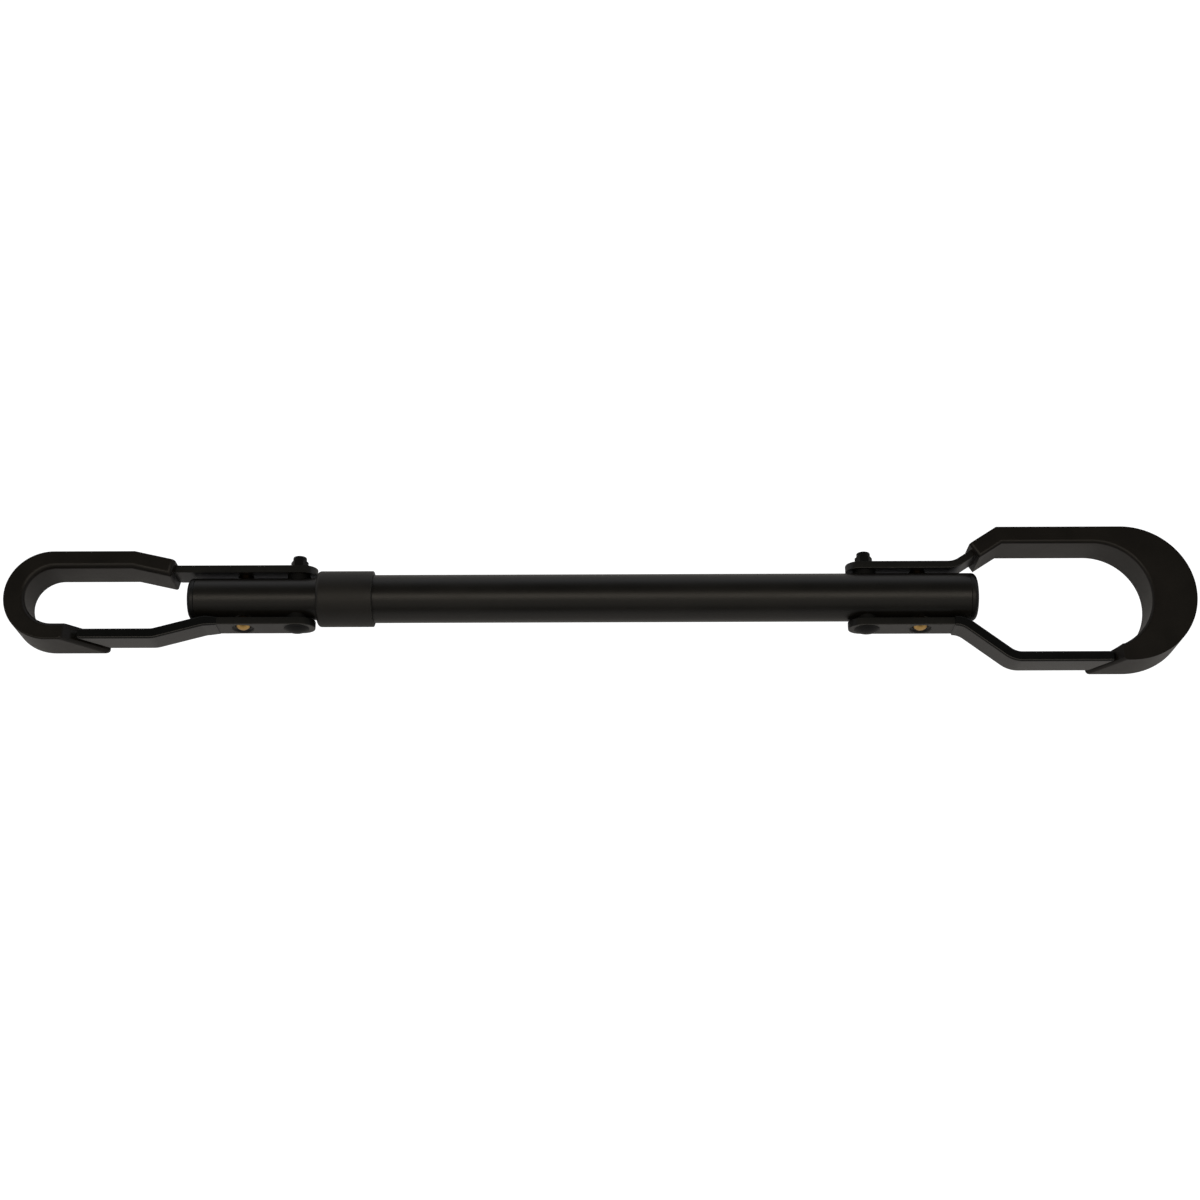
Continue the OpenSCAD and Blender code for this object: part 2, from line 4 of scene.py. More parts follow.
import bmesh
import bpy
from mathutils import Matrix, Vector


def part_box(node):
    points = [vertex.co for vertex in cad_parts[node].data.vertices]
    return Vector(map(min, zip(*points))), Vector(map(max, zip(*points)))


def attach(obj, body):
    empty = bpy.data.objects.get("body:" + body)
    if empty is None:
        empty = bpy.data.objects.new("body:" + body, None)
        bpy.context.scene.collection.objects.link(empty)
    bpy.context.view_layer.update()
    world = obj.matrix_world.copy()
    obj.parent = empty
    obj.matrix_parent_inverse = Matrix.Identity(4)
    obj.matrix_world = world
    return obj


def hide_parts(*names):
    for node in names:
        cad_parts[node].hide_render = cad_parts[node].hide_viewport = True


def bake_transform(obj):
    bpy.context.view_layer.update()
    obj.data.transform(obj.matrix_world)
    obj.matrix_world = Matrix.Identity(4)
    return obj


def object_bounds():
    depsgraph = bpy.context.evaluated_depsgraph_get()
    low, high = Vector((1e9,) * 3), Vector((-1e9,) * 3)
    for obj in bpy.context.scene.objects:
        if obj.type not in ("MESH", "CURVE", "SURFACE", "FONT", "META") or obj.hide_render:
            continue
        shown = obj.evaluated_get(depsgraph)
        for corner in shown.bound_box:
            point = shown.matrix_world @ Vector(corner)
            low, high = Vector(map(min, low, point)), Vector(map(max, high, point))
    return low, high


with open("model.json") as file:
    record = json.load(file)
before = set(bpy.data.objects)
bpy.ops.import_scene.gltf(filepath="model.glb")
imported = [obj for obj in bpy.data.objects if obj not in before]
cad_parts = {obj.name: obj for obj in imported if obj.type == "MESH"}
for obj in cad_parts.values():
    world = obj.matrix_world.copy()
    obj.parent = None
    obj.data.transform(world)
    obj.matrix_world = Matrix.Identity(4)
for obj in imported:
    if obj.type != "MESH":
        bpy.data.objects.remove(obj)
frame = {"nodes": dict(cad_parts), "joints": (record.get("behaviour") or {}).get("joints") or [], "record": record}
cad_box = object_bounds()

# ---- Floor, lights and camera ----------------------------------------------------
# The bar lies on a backlit white table in a dim room. A long warm softbox overhead
# draws a soft line along the tubes, and a fainter one lights the side near the camera.

MM = 0.001
X, Y, Z = Vector((1, 0, 0)), Vector((0, 1, 0)), Vector((0, 0, 1))


def linear(hex_colour):
    parts = [int(hex_colour[k:k + 2], 16) / 255 for k in (1, 3, 5)]
    return [p / 12.92 if p < 0.04045 else ((p + 0.055) / 1.055) ** 2.4 for p in parts] + [1]


def add_node(tree, kind, inputs=None, links=None, **settings):
    made = tree.nodes.new(kind)
    for name, value in settings.items():
        setattr(made, name, value)
    for name, value in (inputs or {}).items():
        made.inputs[name].default_value = value
    for name, source in (links or {}).items():
        tree.links.new(source, made.inputs[name])
    return made


def new_material(name):
    material = bpy.data.materials.new(name)
    material.use_nodes = True
    material.node_tree.nodes.clear()
    return material, material.node_tree


# Opal acrylic lit from below: the eye sees an even white, only faintly shaded by the bar.
def opal_acrylic():
    material, tree = new_material("backlit opal acrylic")
    place = add_node(tree, "ShaderNodeTexCoord").outputs["Object"]
    cloud = add_node(tree, "ShaderNodeTexNoise", {"Scale": 3.0, "Detail": 2.0}, {"Vector": place})
    tone = add_node(tree, "ShaderNodeMix", {"A": linear("#fafaf9"), "B": linear("#ffffff")},
                    {"Factor": cloud.outputs["Fac"]}, data_type="RGBA").outputs["Result"]
    shader = add_node(tree, "ShaderNodeBsdfPrincipled",
                      {"Base Color": linear("#8f8f8f"), "Roughness": 0.9,
                       "Emission Strength": 0.97}, {"Emission Color": tone})
    add_node(tree, "ShaderNodeOutputMaterial", links={"Surface": shader.outputs["BSDF"]})
    return material


# White card: unseen itself, it gives the black parts their pale reflections from below
# and their dark ones where the bar shades it.
def matt_paper():
    material, tree = new_material("matt white card")
    place = add_node(tree, "ShaderNodeTexCoord").outputs["Object"]
    fibre = add_node(tree, "ShaderNodeTexNoise", {"Scale": 40.0, "Detail": 2.0}, {"Vector": place})
    tone = add_node(tree, "ShaderNodeMix", {"A": linear("#f2f2f3"), "B": linear("#f8f8fa")},
                    {"Factor": fibre.outputs["Fac"]}, data_type="RGBA").outputs["Result"]
    shader = add_node(tree, "ShaderNodeBsdfPrincipled",
                      {"Roughness": 1.0, "Specular IOR Level": 0.0, "Emission Strength": 0.12},
                      {"Base Color": tone, "Emission Color": tone})
    add_node(tree, "ShaderNodeOutputMaterial", links={"Surface": shader.outputs["BSDF"]})
    return material


TABLE_SIZE = 60
TABLE_UNDER_CARD = 0.2


def table_sheet(name, height, material):
    bpy.ops.object.select_all(action="DESELECT")
    bpy.ops.mesh.primitive_plane_add(size=TABLE_SIZE, location=(0, 0, height))
    sheet = bpy.context.object
    sheet.name = name
    bpy.ops.object.transform_apply(location=True, rotation=True, scale=True)
    sheet.data.materials.append(material)
    return sheet


opal = table_sheet("light_table", cad_box[0][2] - TABLE_UNDER_CARD * MM, opal_acrylic())
opal.visible_glossy = opal.visible_diffuse = opal.visible_shadow = False
card = table_sheet("shadow_card", cad_box[0][2], matt_paper())
card.visible_camera = False


SOFTBOX_LENGTH = 3.2
SOFTBOX_AWAY = 1.7


def softbox(name, elevation, depth, power, colour):
    light = bpy.data.lights.new(name, "AREA")
    light.shape, light.size, light.size_y = "RECTANGLE", SOFTBOX_LENGTH, depth
    light.energy = power
    light.color = linear(colour)[:3]
    holder = bpy.data.objects.new(name, light)
    rise = math.radians(elevation)
    holder.location = SOFTBOX_AWAY * Vector((0, -math.cos(rise), math.sin(rise)))
    holder.rotation_euler = (math.pi / 2 - rise, 0, 0)
    holder.visible_camera = False
    bpy.context.scene.collection.objects.link(holder)


softbox("overhead_softbox", 82, 0.5, 8.0, "#fff4e4")
softbox("camera_side_fill", 50, 1.2, 3.2, "#fff8f0")

# The room: the table's glow below and behind, fading to a dim ceiling.
room = bpy.data.worlds.new("studio")
bpy.context.scene.world = room
room.use_nodes = True
tree = room.node_tree
tree.nodes.clear()
way = add_node(tree, "ShaderNodeTexCoord").outputs["Generated"]
BRIGHT_BEHIND = (0, -0.25, 1)
rise = add_node(tree, "ShaderNodeVectorMath", {1: BRIGHT_BEHIND}, {0: way},
                operation="DOT_PRODUCT").outputs["Value"]
fade = add_node(tree, "ShaderNodeMapRange", {"From Min": 0.02, "From Max": 0.5}, {"Value": rise})
glow = add_node(tree, "ShaderNodeMix", {"A": linear("#bdbec2"), "B": linear("#40413f")},
                {"Factor": fade.outputs["Result"]}, data_type="RGBA").outputs["Result"]
shine = add_node(tree, "ShaderNodeBackground", {"Strength": 1.0}, {"Color": glow})
add_node(tree, "ShaderNodeOutputWorld", links={"Surface": shine.outputs["Background"]})

CAMERA_ELEVATION = math.radians(69.5)
CAMERA_ROLL = math.radians(-0.19)
CAMERA_DISTANCE = 1.05
SEEN_WIDTH = 0.6324
SENSOR = 36
eye = bpy.data.cameras.new("camera")
eye.sensor_width = SENSOR
eye.lens = SENSOR * CAMERA_DISTANCE / SEEN_WIDTH
eye.shift_y = -0.0014
camera = bpy.data.objects.new("camera", eye)
camera.location = CAMERA_DISTANCE * Vector((0, -math.cos(CAMERA_ELEVATION),
                                            math.sin(CAMERA_ELEVATION)))
camera.rotation_euler = (math.pi / 2 - CAMERA_ELEVATION, 0, 0)
camera.rotation_euler.rotate_axis("Z", CAMERA_ROLL)
bpy.context.scene.collection.objects.link(camera)
bpy.context.scene.camera = camera
bpy.context.scene.view_settings.view_transform = "Standard"

# ---- The two tubes -------------------------------------------------------------------
# Drawn steel tube, 25.4 mm outside and 22.2 mm inside it, cross-drilled for the
# pivot bolt and the snap buttons. Both are powder-coated satin black.

SMALL, LARGE = -1, 1
joints = {j["name"]: j for j in frame["joints"]}
bolt_x = {SMALL: joints["small_gate_swing"]["pos_m"][0],
          LARGE: joints["large_gate_swing"]["pos_m"][0]}
BUTTON_FROM_BOLT = 28
TUBE_WALL, BOLT_HOLE_R, TUBE_HOLE_R = 1.2, 2.58, 3.9
button_x = {end: bolt_x[end] + end * BUTTON_FROM_BOLT * MM for end in (SMALL, LARGE)}
end_name = {SMALL: "small", LARGE: "large"}
end_body = {SMALL: "sliding_end", LARGE: "main_bar"}


# Stoved or moulded black: a near-black colour that drifts a little in broad
# patches, a fine skin of grain, and a sheen that varies with both.
def black_finish(name, dark, light, patch, grain, relief, sheen, ior=1.5):
    material, tree = new_material(name)
    place = add_node(tree, "ShaderNodeTexCoord").outputs["Object"]
    patches = add_node(tree, "ShaderNodeTexNoise",
                       {"Scale": 1 / (patch * MM), "Detail": 4.0, "Roughness": 0.55},
                       {"Vector": place}).outputs["Fac"]
    grains = add_node(tree, "ShaderNodeTexNoise",
                      {"Scale": 1 / (grain * MM), "Detail": 3.0, "Roughness": 0.6},
                      {"Vector": place}).outputs["Fac"]
    both = add_node(tree, "ShaderNodeMath", {1: 0.45}, {0: grains}, operation="MULTIPLY")
    both = add_node(tree, "ShaderNodeMath", links={0: patches, 1: both.outputs[0]},
                    operation="ADD")
    spread = add_node(tree, "ShaderNodeMapRange",
                      {"From Min": 0.45, "From Max": 1.0}, {"Value": both.outputs[0]})
    colour = add_node(tree, "ShaderNodeMix", {"A": linear(dark), "B": linear(light)},
                      {"Factor": spread.outputs["Result"]}, data_type="RGBA")
    rough = add_node(tree, "ShaderNodeMapRange",
                     {"From Min": 0.45, "From Max": 1.0, "To Min": sheen[0], "To Max": sheen[1]},
                     {"Value": both.outputs[0]})
    bump = add_node(tree, "ShaderNodeBump", {"Strength": 0.6, "Distance": relief * MM},
                    {"Height": grains})
    shader = add_node(tree, "ShaderNodeBsdfPrincipled",
                      {"IOR": ior},
                      {"Base Color": colour.outputs["Result"],
                       "Roughness": rough.outputs["Result"], "Normal": bump.outputs["Normal"]})
    add_node(tree, "ShaderNodeOutputMaterial", links={"Surface": shader.outputs["BSDF"]})
    return material


def apply_modifier(piece, kind, **settings):
    made = piece.modifiers.new(kind.lower(), kind)
    for name, value in settings.items():
        setattr(made, name, value)
    bpy.context.view_layer.objects.active = piece
    bpy.ops.object.modifier_apply(modifier=made.name)


def carve(piece, cutter, operation="DIFFERENCE", keep=False):
    apply_modifier(piece, "BOOLEAN", object=cutter, operation=operation, solver="EXACT")
    if not keep:
        bpy.data.objects.remove(cutter)


def round_edges(piece, width, segments=3, limit=35):
    apply_modifier(piece, "BEVEL", width=width * MM, segments=segments,
                   limit_method="ANGLE", angle_limit=math.radians(limit))


def start_piece(name):
    piece = bpy.context.object
    piece.name = name
    piece.data.name = name
    bpy.ops.object.transform_apply(location=True, rotation=True, scale=True)
    return piece


def drill(name, x, radius, y_from=-30, y_to=30):
    bpy.ops.object.select_all(action="DESELECT")
    bpy.ops.mesh.primitive_cylinder_add(vertices=64, radius=radius * MM,
                                        depth=(y_to - y_from) * MM,
                                        location=(x, (y_from + y_to) / 2 * MM, 0),
                                        rotation=(math.pi / 2, 0, 0))
    return start_piece(name)


def pick(piece, kind, wanted):
    """Opens the piece for editing with only the wanted points or edges selected."""
    bpy.ops.object.select_all(action="DESELECT")
    piece.select_set(True)
    bpy.context.view_layer.objects.active = piece
    bpy.ops.object.mode_set(mode="EDIT")
    bpy.ops.mesh.select_mode(type=kind)
    bpy.ops.mesh.select_all(action="DESELECT")
    mesh = bmesh.from_edit_mesh(piece.data)
    for part in (mesh.verts if kind == "VERT" else mesh.edges):
        if wanted(part):
            part.select = True
    mesh.select_flush_mode()
    bmesh.update_edit_mesh(piece.data)


def put_down():
    bpy.ops.mesh.select_mode(type="VERT")
    bpy.ops.object.mode_set(mode="OBJECT")


def hand_over(piece, body, material, nodes, smooth=35):
    bpy.ops.object.select_all(action="DESELECT")
    piece.select_set(True)
    bpy.context.view_layer.objects.active = piece
    bpy.ops.object.shade_smooth_by_angle(angle=math.radians(smooth))
    apply_modifier(piece, "WEIGHTED_NORMAL", keep_sharp=True)
    piece.data.materials.clear()
    piece.data.materials.append(material)
    if body:
        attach(piece, body)
    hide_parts(*nodes)


def steel_tube(name, end):
    low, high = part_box(name)
    bpy.ops.object.select_all(action="DESELECT")
    bpy.ops.mesh.primitive_cylinder_add(vertices=128, radius=(high.y - low.y) / 2,
                                        depth=high.x - low.x, end_fill_type="NOTHING",
                                        location=((low.x + high.x) / 2, 0, 0),
                                        rotation=(0, math.pi / 2, 0))
    tube = start_piece(name + "_drawn")
    bpy.ops.object.mode_set(mode="EDIT")
    bpy.ops.mesh.select_all(action="SELECT")
    bpy.ops.mesh.normals_make_consistent(inside=False)
    bpy.ops.object.mode_set(mode="OBJECT")
    apply_modifier(tube, "SOLIDIFY", thickness=TUBE_WALL * MM, offset=-1)
    round_edges(tube, 0.3, 2)
    carve(tube, drill("bolt_hole", bolt_x[end], BOLT_HOLE_R))
    carve(tube, drill("button_hole", button_x[end], TUBE_HOLE_R))
    return tube


# Powder coat: warm black with a faint orange peel, so the line of light has a soft edge.
powder_coat = black_finish("powder-coated steel", "#13110e", "#1c1a16", 28, 0.9, 0.012,
                           (0.32, 0.4))
for node, end in (("main_tube", LARGE), ("inner_tube", SMALL)):
    hand_over(steel_tube(node, end), end_body[end], powder_coat, [node])

# ---- The collar ------------------------------------------------------------------------
# One moulded nylon sleeve, pressed over the main tube's open end. Its lip closes
# the gap to the inner tube and guides it, and its front edge is well rounded.


def turned(name, centre, axis, profile, sides=96):
    """Rings of (distance along the axis, radius) in millimetres, extruded one from another."""
    bpy.ops.object.select_all(action="DESELECT")
    tilt = Z.rotation_difference(axis).to_euler()
    along, radius = profile[0]
    bpy.ops.mesh.primitive_circle_add(vertices=sides, radius=radius * MM, fill_type="NOTHING",
                                      location=centre + axis * along * MM, rotation=tilt)
    piece = start_piece(name)
    bpy.ops.object.mode_set(mode="EDIT")
    bpy.ops.mesh.select_all(action="SELECT")
    for next_along, next_radius in profile[1:]:
        step = axis * (next_along - along) * MM
        bpy.ops.mesh.extrude_region_move(TRANSFORM_OT_translate={"value": step})
        grow = next_radius / radius
        if abs(grow - 1) > 1e-9:
            bpy.ops.transform.resize(value=(grow, grow, grow),
                                     center_override=centre + axis * next_along * MM)
        along, radius = next_along, next_radius
    bpy.ops.mesh.select_all(action="SELECT")
    bpy.ops.mesh.remove_doubles(threshold=1e-6)
    bpy.ops.mesh.fill_holes(sides=0)
    bpy.ops.mesh.normals_make_consistent(inside=False)
    bpy.ops.object.mode_set(mode="OBJECT")
    return piece


def corner(along, radius, size, start, stop, steps=6):
    """Points of a rounded corner about (along, radius), from one angle to another."""
    angles = [math.radians(start + (stop - start) * k / steps) for k in range(steps + 1)]
    return [(along + size * math.cos(a), radius + size * math.sin(a)) for a in angles]


collar_low, collar_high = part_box("tube_collar")
collar_length = (collar_high.x - collar_low.x) / MM
collar_r = collar_high.y / MM
tube_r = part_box("main_tube")[1].y / MM
inner_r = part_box("inner_tube")[1].y / MM
LIP, LIP_GAP, FRONT_ROUND, TUBE_GAP = 2.5, 0.12, 2.2, 0.02
collar = turned("collar_sleeve", X * collar_low.x, X, [
    (LIP, inner_r + LIP_GAP), (0.5, inner_r + LIP_GAP), (0, inner_r + 0.6),
    *corner(FRONT_ROUND, collar_r - FRONT_ROUND, FRONT_ROUND, 180, 90, 8),
    (collar_length - 1.6, collar_r), *corner(collar_length - 0.5, collar_r - 0.5, 0.5, 90, 0, 4),
    (collar_length, tube_r + TUBE_GAP), (LIP, tube_r + TUBE_GAP), (LIP, inner_r + LIP_GAP)], 128)
# Spark-textured nylon: greyer and more matt than the tubes, with a very fine grain.
moulded_nylon = black_finish("moulded nylon, fine spark texture", "#1c1a17", "#262420", 18, 0.5,
                             0.02, (0.46, 0.55))
hand_over(collar, "main_bar", moulded_nylon, ["tube_collar"])

# ---- The tubes' end plugs -----------------------------------------------------------------
# Push-in caps of soft black polyethylene: a domed head as wide as the tube, and
# a hollow skirt with one thin gripping rib inside it.

PLUG_EASE, PLUG_LINING, PLUG_HOLLOW = 0.35, 2.0, 1.6
# Polyethylene: a neutral, slightly waxy black, darker than the painted steel round it.
polyethylene = black_finish("injection-moulded polyethylene", "#0c0c0c", "#131312", 12, 0.6,
                            0.01, (0.38, 0.48))
for node, tube, end in (("main_tube_plug", "main_tube", LARGE),
                        ("inner_tube_plug", "inner_tube", SMALL)):
    low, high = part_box(node)
    mouth = high.x if end == LARGE else low.x
    tube_low, tube_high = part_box(tube)
    rim = tube_high.x if end == LARGE else tube_low.x
    head_r, bore_r = tube_high.y / MM, tube_high.y / MM - TUBE_WALL
    head = abs(mouth - rim) / MM
    depth = (high.x - low.x) / MM - head
    skirt_r = bore_r - PLUG_EASE
    rib = [(-depth * 0.45, skirt_r), (-depth * 0.4, bore_r - 0.05), (-depth * 0.35, skirt_r)]
    plug = turned(node.replace("plug", "cap"), X * rim, X * end, [
        (-depth, bore_r - PLUG_LINING), (-depth + 0.4, bore_r - 0.5), (-depth + 1, skirt_r),
        *rib, (0, skirt_r), (0, head_r - 0.25), (0.25, head_r),
        *corner(head * 0.3, head_r - head * 0.62, head * 0.62, 90, 8, 8),
        (head * 0.97, head_r * 0.55), (head, head_r * 0.3), (head, 0.05),
        (head - PLUG_HOLLOW, 0.05), (head - PLUG_HOLLOW, bore_r - PLUG_LINING - 0.2),
        (-depth, bore_r - PLUG_LINING)], 128)
    hand_over(plug, end_body[end], polyethylene, [node])

# ---- The hook bars -----------------------------------------------------------------------
# Steel flat bar, 15 by 4 mm, cut to length, rounded at the bolt, bent up beside
# the tube and then half round the seat, and painted satin black.

BAR_WIDTH, BAR_THICK, BEND, PAST_BOLT = 15, 4, 12, 9.9
ARM_HOLE_R, LIP_BAR_RUN = 4.2, 37
BLOCK = 120
seats = {m["name"]: m for m in frame["record"]["mounts"]}
seat = {end: seats[end_name[end] + "_hook_seat"] for end in (SMALL, LARGE)}
seat_at = {end: Vector(seat[end]["pos_m"]) for end in (SMALL, LARGE)}
seat_r = {end: seat[end]["dims"]["r_mm"] for end in (SMALL, LARGE)}
arm_y = {end: -joints[end_name[end] + "_gate_swing"]["pos_m"][1] for end in (SMALL, LARGE)}
SLANT = {SMALL: (-16.55, 0.875), LARGE: (3.85, 0.625)}


def flat_bar(name, start, heading, moves, width, thick):
    """Bar of flat section pushed along: (length, 0) is a straight run, (radius, angle) a bend."""
    bpy.ops.object.select_all(action="DESELECT")
    bpy.ops.mesh.primitive_plane_add(size=1, location=start,
                                     rotation=(0, math.pi / 2, heading))
    bpy.context.object.scale = (width * MM, thick * MM, 1)
    bar = start_piece(name)
    bpy.ops.object.mode_set(mode="EDIT")
    bpy.ops.mesh.select_all(action="SELECT")
    at = Vector(start)
    for size, turn in moves:
        if turn == 0:
            step = Vector((math.cos(heading), math.sin(heading), 0)) * size * MM
            bpy.ops.mesh.extrude_region_move(TRANSFORM_OT_translate={"value": step})
            at = at + step
        else:
            angle = math.radians(turn)
            toward = heading + math.copysign(math.pi / 2, turn)
            middle = at + Vector((math.cos(toward), math.sin(toward), 0)) * size * MM
            bpy.ops.mesh.spin(steps=max(3, round(abs(turn) / 3)), angle=-angle, center=middle,
                              axis=(0, 0, 1))  # a positive angle turns clockwise here
            back = toward + angle
            at = middle - Vector((math.cos(back), math.sin(back), 0)) * size * MM
            heading += angle
    bpy.ops.mesh.select_all(action="SELECT")
    bpy.ops.mesh.remove_doubles(threshold=1e-6)
    bpy.ops.mesh.normals_make_consistent(inside=False)
    bpy.ops.object.mode_set(mode="OBJECT")
    return bar


def double_bend(end, rise, slope):
    """Up by rise and level again, as seen with the end's hook to the right."""
    straight = (abs(rise) - 2 * BEND * (1 - math.cos(math.radians(slope))))
    straight /= math.sin(math.radians(slope))
    turn = math.copysign(slope, rise) * end
    return [(BEND, turn), (straight, 0), (BEND, -turn)]


def run_length(rise, slope):
    angle = math.radians(slope)
    straight = (abs(rise) - 2 * BEND * (1 - math.cos(angle))) / math.sin(angle)
    return 2 * BEND * math.sin(angle) + straight * math.cos(angle)


def round_root(bar, x):
    """Rounds the bar's cut end at x into a half circle."""
    pick(bar, "EDGE", lambda edge: all(abs(v.co.x - x) < 1e-6 for v in edge.verts)
         and abs(edge.verts[0].co.z - edge.verts[1].co.z) < 1e-6)
    bpy.ops.mesh.bevel(offset=BAR_WIDTH / 2 * 0.99 * MM, segments=14, affect="EDGES")
    put_down()


def slant_block(end, shift, tube_side):
    """Cutting block whose one face is the slanted plane where hook and gate meet."""
    at, lean = SLANT[end]
    size = BLOCK * MM
    tilt = math.atan(lean)
    block_side = -end if tube_side else end
    face = Vector((seat_at[end].x + end * (at + shift) * MM, 0, 0))
    normal = Vector((math.cos(tilt) * end, 0, -math.sin(tilt))) * (block_side * end)
    middle = face + normal * size / 2
    bpy.ops.object.select_all(action="DESELECT")
    bpy.ops.mesh.primitive_cube_add(size=size,
                                    location=(middle.x, seat_at[end].y - size / 2, middle.z),
                                    rotation=(0, end * tilt, 0))
    return start_piece("slant_block")


HOOK_BAR = {SMALL: (62, 13, 19.2), LARGE: (43.6, 33, 30.2)}
gate_y = {SMALL: -21.45, LARGE: -35.6}
# Paint on flat bar: satin, a little smoother than the tubes, so its faces read as planes.
bar_paint = black_finish("painted steel flat bar", "#10100e", "#181714", 20, 0.7, 0.015,
                         (0.32, 0.4))
hook_bars = {}
for end, (bend_at, slope, top_y) in HOOK_BAR.items():
    name = end_name[end] + "_hook_bar"
    rise = top_y - arm_y[end] / MM
    reach = abs(seat_at[end].x - bolt_x[end]) / MM
    half_turn = (top_y - gate_y[end]) / 2
    root_x = bolt_x[end] - end * PAST_BOLT * MM
    moves = [(PAST_BOLT + bend_at, 0), *double_bend(end, rise, slope),
             (reach - bend_at - run_length(rise, slope), 0),
             (half_turn, -180 * end), (LIP_BAR_RUN, 0)]
    bar = flat_bar(name + "_bent", Vector((root_x, arm_y[end], 0)),
                   0 if end == LARGE else math.pi, moves, BAR_WIDTH, BAR_THICK)
    round_root(bar, root_x)
    carve(bar, slant_block(end, 0, True))
    carve(bar, drill("bolt_hole", bolt_x[end], BOLT_HOLE_R))
    carve(bar, drill("button_hole", button_x[end], ARM_HOLE_R))
    round_edges(bar, 0.45, 2)
    hook_bars[end] = bar
    hand_over(bar, end_body[end], bar_paint, [name])

# ---- The rubber covers of the hooks ------------------------------------------------------
# Black EPDM rubber moulded round each hook bar, 24 mm wide, so that the seat is
# soft against a painted frame. Rounded all over, with a deeper chamfer inside.

COVER = {SMALL: dict(knee=85.31, tail=63.5, slope=13),
         LARGE: dict(knee=69.12, tail=54.6, slope=33)}
LIP_RUN, COVER_HALF = 45, 12


def cover_outline(end, low, high):
    """The cover seen from above, drawn with single points: nose, tail, seat and lower lip."""
    radius, centre = seat_r[end] * MM, seat_at[end]
    knee = bolt_x[end] + end * COVER[end]["knee"] * MM
    tail = bolt_x[end] + end * COVER[end]["tail"] * MM
    slope = math.radians(COVER[end]["slope"])
    depth = high.y - (centre.y + radius)
    nose_r = (high.y - low.y) / 2
    nose_x = (high.x if end == LARGE else low.x) - end * nose_r
    tail_y = high.y - abs(knee - tail) * math.tan(slope)
    bpy.ops.object.select_all(action="DESELECT")
    bpy.ops.mesh.primitive_circle_add(vertices=144, radius=nose_r, fill_type="NOTHING",
                                      location=(nose_x, (low.y + high.y) / 2, low.z))
    cover = start_piece(end_name[end] + "_hook_rubber")
    pick(cover, "VERT", lambda vert: (vert.co.x - nose_x) * end < -1e-6)
    bpy.ops.mesh.delete(type="VERT")
    bpy.ops.object.mode_set(mode="OBJECT")
    top = max(v.co.y for v in cover.data.vertices)
    pick(cover, "VERT", lambda vert: vert.co.y > top - 1e-7)
    at = Vector((nose_x, high.y))
    route = [(knee, high.y), (tail, tail_y),
             (tail + end * depth * math.sin(slope), tail_y - depth * math.cos(slope)),
             (knee + end * depth * math.tan(slope / 2), centre.y + radius),
             (centre.x, centre.y + radius)]
    for x, y in route:
        bpy.ops.mesh.extrude_region_move(
            TRANSFORM_OT_translate={"value": (x - at.x, y - at.y, 0)})
        at = Vector((x, y))
    bpy.ops.mesh.spin(steps=72, angle=math.pi * end, center=(centre.x, centre.y, low.z),
                      axis=(0, 0, 1))
    at = Vector((centre.x, centre.y - radius))
    lip = centre.x - end * LIP_RUN * MM
    for x, y in [(lip, centre.y - radius), (lip, low.y), (nose_x, low.y)]:
        bpy.ops.mesh.extrude_region_move(
            TRANSFORM_OT_translate={"value": (x - at.x, y - at.y, 0)})
        at = Vector((x, y))
    bpy.ops.mesh.select_all(action="SELECT")
    bpy.ops.mesh.remove_doubles(threshold=1e-6)
    bpy.ops.mesh.edge_face_add()
    bpy.ops.mesh.extrude_region_move(TRANSFORM_OT_translate={"value": (0, 0, high.z - low.z)})
    bpy.ops.mesh.select_all(action="SELECT")
    bpy.ops.mesh.normals_make_consistent(inside=False)
    bpy.ops.object.mode_set(mode="OBJECT")
    return cover


def round_seat(cover, end, width):
    """Deeper rounding along the seat's two rims, and off the lower lip's sharp corner."""
    centre, radius, rim = seat_at[end], seat_r[end] * MM, COVER_HALF * MM
    bottom = min(v.co.y for v in cover.data.vertices)
    plane_x = centre.x + end * SLANT[end][0] * MM

    def on_seat_rim(edge):
        a, b = (v.co for v in edge.verts)
        middle = (a + b) / 2 - centre
        if abs(abs(a.z) - rim) > 1e-5 or abs(a.z - b.z) > 1e-6:
            return False
        away = middle.xy.length if middle.x * end > 0 else abs(middle.y)
        return away < radius + 0.2 * MM

    def on_lip_corner(edge):
        return all(abs(v.co.y - bottom) < 1e-6
                   and abs((v.co.x - plane_x) * end - SLANT[end][1] * v.co.z) < 1e-5
                   for v in edge.verts)

    pick(cover, "EDGE", on_seat_rim)
    bpy.ops.mesh.bevel(offset=width * MM, segments=5, affect="EDGES")
    put_down()
    pick(cover, "EDGE", on_lip_corner)
    bpy.ops.mesh.bevel(offset=LIP_CORNER * MM, segments=3, affect="EDGES")
    put_down()


RIM = {SMALL: 2.6, LARGE: 1.8}
LIP_CORNER = 1.8
# Rubber: the warmest and deepest black, with a cloudy bloom that takes off the shine.
epdm = black_finish("moulded EPDM rubber", "#130f0a", "#1c1710", 16, 0.7, 0.02, (0.36, 0.44),
                    1.42)
for end in (SMALL, LARGE):
    node = end_name[end] + "_hook_cover"
    cover = cover_outline(end, *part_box(node))
    carve(cover, slant_block(end, 0, True))
    round_seat(cover, end, RIM[end])
    round_edges(cover, 0.9, 3, 42)
    carve(cover, hook_bars[end], keep=True)
    hand_over(cover, end_body[end], epdm, [node])

# ---- The gates -------------------------------------------------------------------------
# The same flat bar, hinged on the pivot bolt. It runs beside the tube, steps out
# and ends in a slanted tip. A dished hole lets a fingertip press the button.

GATE = {SMALL: (46.3, 15, 3.5), LARGE: (45.4, 38, 1.5)}
SKIN = 0.8
DISH_R, DISH_DEPTH = 6.2, 1.6
GATE_RUN = 90


